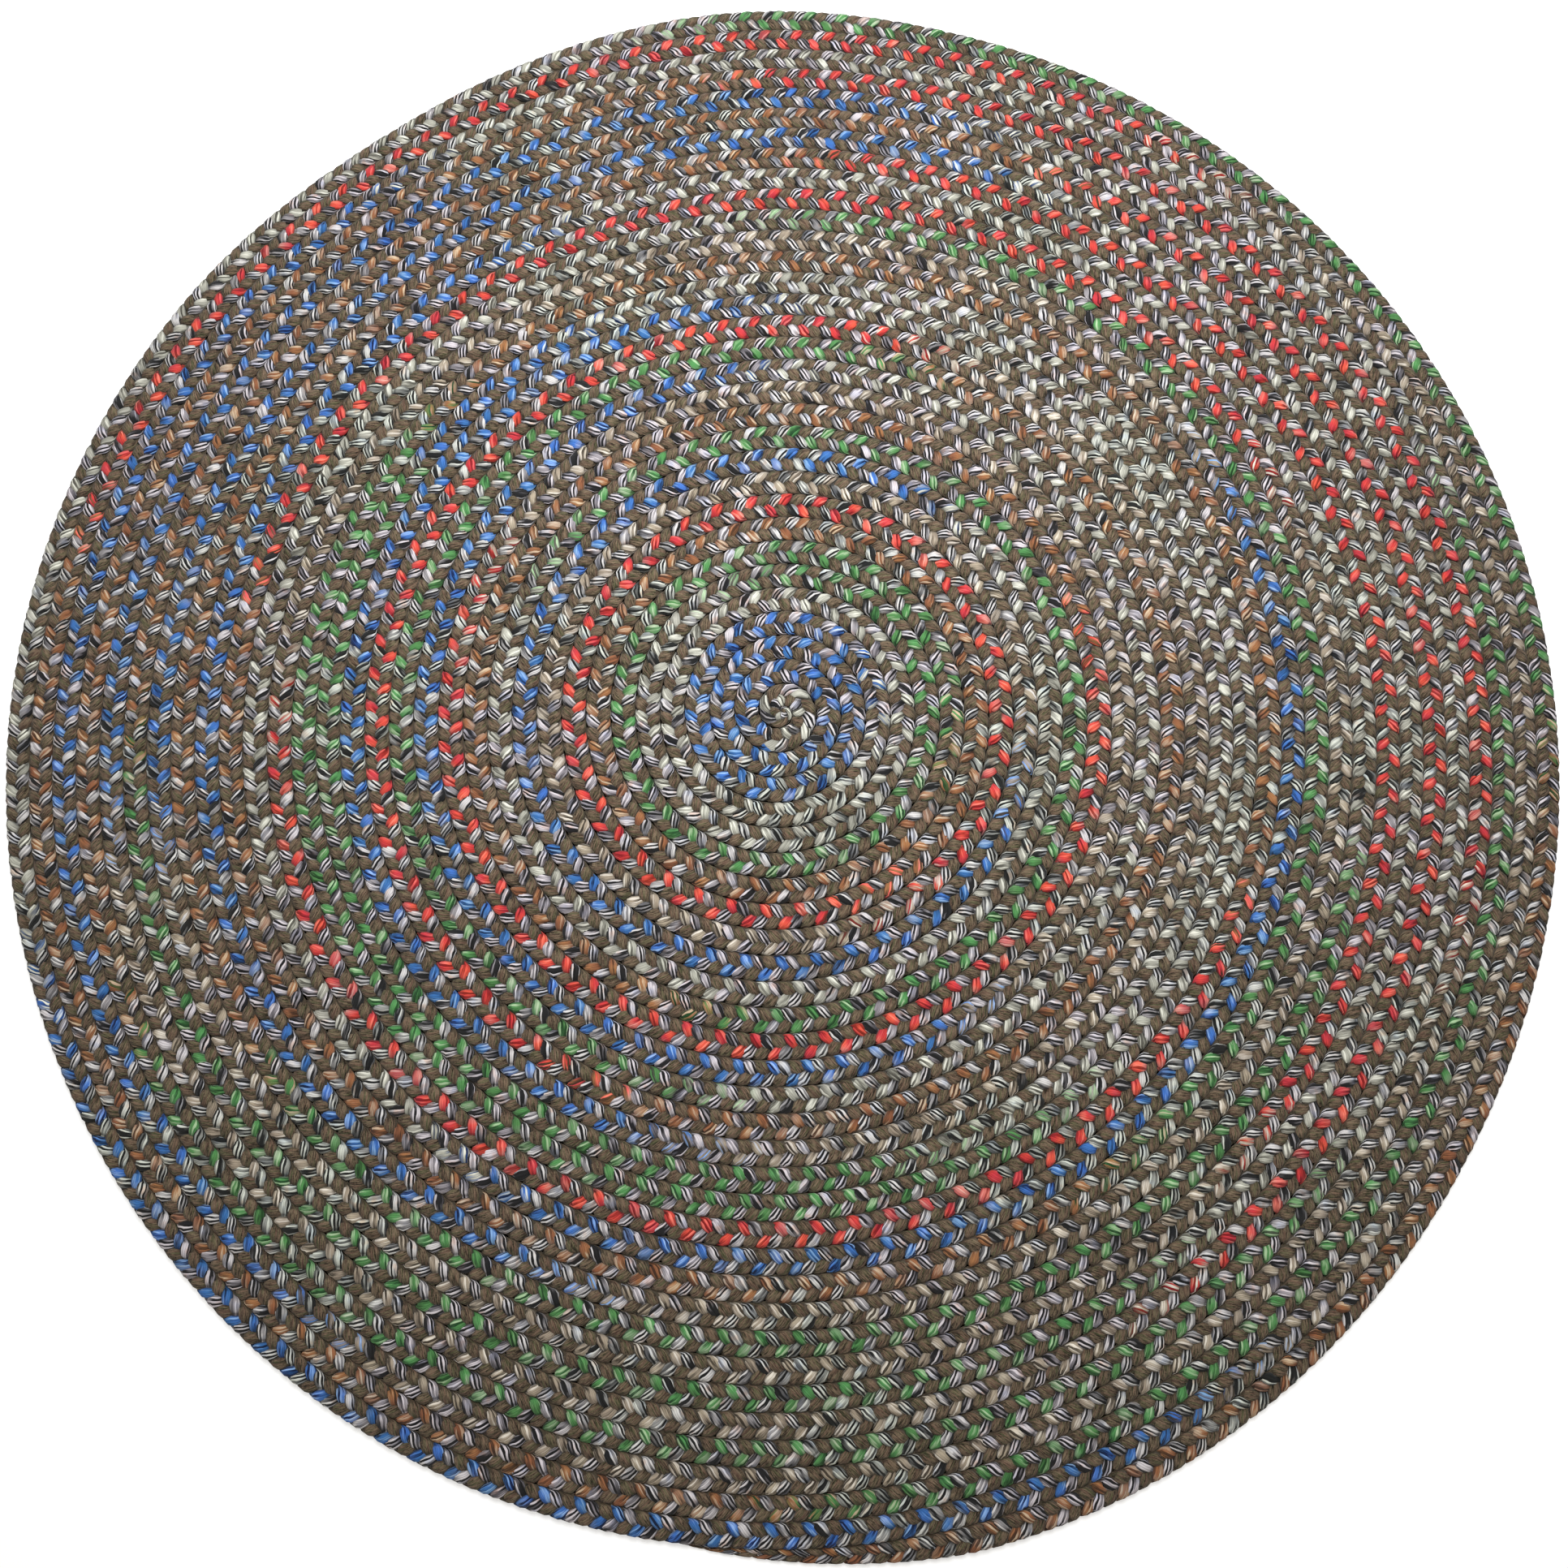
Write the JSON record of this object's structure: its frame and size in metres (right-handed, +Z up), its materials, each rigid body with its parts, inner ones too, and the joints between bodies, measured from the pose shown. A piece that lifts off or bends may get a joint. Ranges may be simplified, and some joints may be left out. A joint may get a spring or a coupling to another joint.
{
  "type": "braided rug",
  "caption": "Round flat rug of a thick three-strand wool braid, coiled from the middle outwards and sewn edge to edge, ending in a tapered tail.",
  "frame": {"origin": "the pole of the coil, on the underside that rests on the floor", "axes": "+Z up out of the floor, +X and +Y in the floor, with the braid's tail at the rim on the -Y side"},
  "size_m": [1.8303, 1.8381, 0.0127],
  "materials": {
    "brown_wool": "dull olive-brown heathered wool yarn",
    "marl_wool": "dull marled wool yarn, plies of black, grey and white side by side",
    "dyed_wool": "dull wool yarn dyed in long runs of red, tan, blue, cream, green and rust"
  },
  "bodies": {
    "root": {"braided_rug": "brown_wool"}
  },
  "joints": []
}
